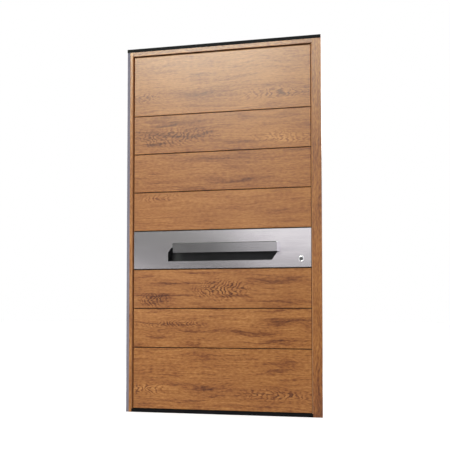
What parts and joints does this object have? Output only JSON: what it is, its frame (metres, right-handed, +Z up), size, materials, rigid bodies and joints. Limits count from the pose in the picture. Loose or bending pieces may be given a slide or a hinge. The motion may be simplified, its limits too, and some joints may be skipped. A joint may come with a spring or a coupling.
{
  "type": "panelled front door",
  "caption": "Front door in its timber frame: a leaf of horizontal boards with a steel handle band and grip ledge, hung on barrel hinges, with an inside lever and a key-driven bolt lock.",
  "frame": {"origin": "middle of the threshold's underside, at the middle of the frame's width and depth", "axes": "+Z up, +X from the hinge side to the lock side, +Y from the outside to the inside"},
  "size_m": [1.25, 0.193, 2.25],
  "materials": {
    "oak": "satin golden oak decor, horizontal grain on the boards",
    "oak_frame": "satin golden oak decor, grain along each member",
    "core_timber": "laminated softwood, hidden in the leaf",
    "oak_inside": "satin oak veneer on the inside face",
    "backing": "black laminate behind the grooves",
    "insulation": "rigid foam, hidden in the leaf",
    "steel": "brushed along the width",
    "hardware": "fine satin",
    "zinc": "zinc-plated lock pieces",
    "black_metal": "black satin coating",
    "grey_trim": "grey lacquered aluminium",
    "seal": "black rubber"
  },
  "bodies": {
    "frame": {"hinge_jamb": "oak_frame", "lock_jamb": "oak_frame", "lock_cover_board": "oak_frame", "head_rail": "oak_frame", "hinge_side_trim": "grey_trim", "head_cap": "black_metal", "threshold": "black_metal", "frame_gasket": "seal", "main_strike": "hardware", "lower_strike": "hardware", "upper_strike": "hardware", "hinge_1_frame_wing": "hardware", "hinge_2_frame_wing": "hardware", "hinge_3_frame_wing": "hardware", "hinge_pins": "hardware"},
    "leaf": {"hinge_stile": "core_timber", "lock_stile": "core_timber", "top_rail": "core_timber", "bottom_rail": "core_timber", "lower_band_rail": "core_timber", "upper_band_rail": "core_timber", "insulation": "insulation", "backing_sheet": "backing", "inner_skin": "oak_inside", "band_carrier": "core_timber", "steel_band": "steel", "recess_tray": "black_metal", "grip_ledge": "black_metal", "ledge_plate": "steel", "left_ledge_end": "black_metal", "right_ledge_end": "steel", "bottom_seal": "seal", "lock_case": "zinc", "lock_faceplate": "hardware", "lower_bolt_case": "zinc", "upper_bolt_case": "zinc", "cylinder_body": "hardware", "outer_rosette": "hardware", "inner_rosette": "hardware", "lever_rose": "hardware", "hinge_1_leaf_wing": "hardware", "hinge_2_leaf_wing": "hardware", "hinge_3_leaf_wing": "hardware", "board_1": "oak", "board_2": "oak", "board_3": "oak", "board_5": "oak", "board_6": "oak", "board_7": "oak", "board_8": "oak"},
    "lever": {"lever_handle": "hardware", "lever_spindle": "zinc"},
    "latch": {"latch_bolt": "hardware"},
    "main_bolt": {"dead_bolt": "hardware"},
    "low_bolt": {"lower_bolt": "hardware"},
    "high_bolt": {"upper_bolt": "hardware"},
    "low_rod": {"lower_drive_rod": "zinc"},
    "high_rod": {"upper_drive_rod": "zinc"},
    "key_plug": {"cylinder_plug": "hardware"}
  },
  "joints": [
    {"name": "leaf_swing", "type": "hinge", "parent": "frame", "child": "leaf", "pos_m": [-0.5975, 0.0545, 0], "axis": [0, 0, 1], "range_deg": [0, 95]},
    {"name": "lever_turn", "type": "hinge", "parent": "leaf", "child": "lever", "pos_m": [0.501, 0.045, 1.0165], "axis": [0, -1, 0], "range_deg": [0, 40], "stiffness_Nm_per_rad": 2, "springref_deg": -34.38},
    {"name": "plug_turn", "type": "hinge", "parent": "leaf", "child": "key_plug", "pos_m": [0.501, 0, 0.9245], "axis": [0, 1, 0], "range_deg": [0, 360]},
    {"name": "latch_slide", "type": "slide", "parent": "leaf", "child": "latch", "axis": [-1, 0, 0], "range_m": [0, 0.012]},
    {"name": "main_bolt_slide", "type": "slide", "parent": "leaf", "child": "main_bolt", "axis": [1, 0, 0], "range_m": [0, 0.02]},
    {"name": "low_bolt_slide", "type": "slide", "parent": "leaf", "child": "low_bolt", "axis": [1, 0, 0], "range_m": [0, 0.02]},
    {"name": "high_bolt_slide", "type": "slide", "parent": "leaf", "child": "high_bolt", "axis": [1, 0, 0], "range_m": [0, 0.02]},
    {"name": "low_rod_slide", "type": "slide", "parent": "leaf", "child": "low_rod", "axis": [0, 0, 1], "range_m": [0, 0.012]},
    {"name": "high_rod_slide", "type": "slide", "parent": "leaf", "child": "high_rod", "axis": [0, 0, 1], "range_m": [0, 0.012]}
  ],
  "couplings": [
    {"joint": "latch_slide", "follows": "lever_turn", "m_per_rad": 0.01718},
    {"joint": "plug_turn", "follows": "main_bolt_slide", "rad_per_m": 314.16},
    {"joint": "low_bolt_slide", "follows": "main_bolt_slide", "ratio": 1},
    {"joint": "high_bolt_slide", "follows": "main_bolt_slide", "ratio": 1},
    {"joint": "low_rod_slide", "follows": "main_bolt_slide", "ratio": 0.6},
    {"joint": "high_rod_slide", "follows": "main_bolt_slide", "ratio": 0.6}
  ]
}
